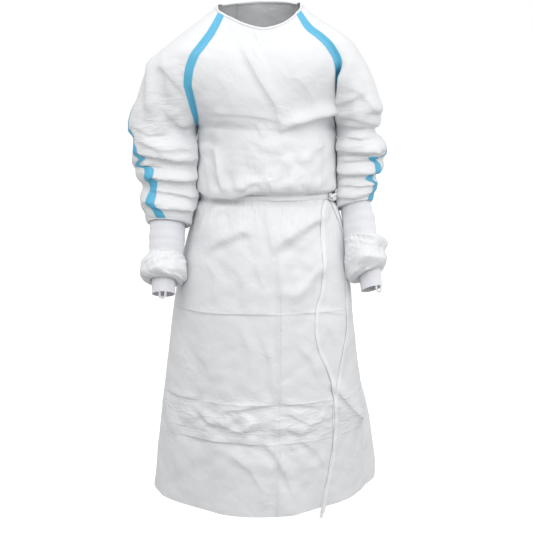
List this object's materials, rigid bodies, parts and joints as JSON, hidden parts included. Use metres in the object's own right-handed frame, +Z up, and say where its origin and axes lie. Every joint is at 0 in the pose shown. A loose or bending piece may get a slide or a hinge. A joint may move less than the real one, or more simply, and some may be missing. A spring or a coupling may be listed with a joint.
{
  "type": "chemotherapy gown",
  "caption": "Worn, hollow disposable gown with raglan sleeves, blue seam tape, knitted bands and cuffs, thumb loops and a waist belt tied at the side.",
  "frame": {"origin": "between the shoulders at the height of the neckline's side points, where the wearer carries the gown", "axes": "+Z up, the front faces -Y, and the wearer's left is at +X"},
  "size_m": [0.6063, 0.3888, 1.2006],
  "materials": {
    "nonwoven_cloth": "film-coated white nonwoven, softly satin, creased",
    "knit": "fine rib knit, matt",
    "elastic": "woven elastic, matt",
    "seam_tape": "pale blue heat-sealed film, satin",
    "tie_fabric": "folded nonwoven strip, matt"
  },
  "bodies": {
    "root": {"front": "nonwoven_cloth", "back_right": "nonwoven_cloth", "back_left": "nonwoven_cloth", "sleeve_right": "nonwoven_cloth", "sleeve_left": "nonwoven_cloth", "lower_sleeve_right": "nonwoven_cloth", "lower_sleeve_left": "nonwoven_cloth", "neck_binding": "nonwoven_cloth", "forearm_band_right": "knit", "forearm_band_left": "knit", "cuff_right": "knit", "cuff_left": "knit", "thumb_loop_right": "elastic", "thumb_loop_left": "elastic", "tape_front_right": "seam_tape", "tape_front_left": "seam_tape", "tape_back_right": "seam_tape", "tape_back_left": "seam_tape", "tape_sleeve_right": "seam_tape", "tape_sleeve_left": "seam_tape", "neck_tab": "tie_fabric", "belt": "tie_fabric", "belt_knot": "tie_fabric", "tie_long": "tie_fabric", "tie_short": "tie_fabric"}
  },
  "joints": []
}
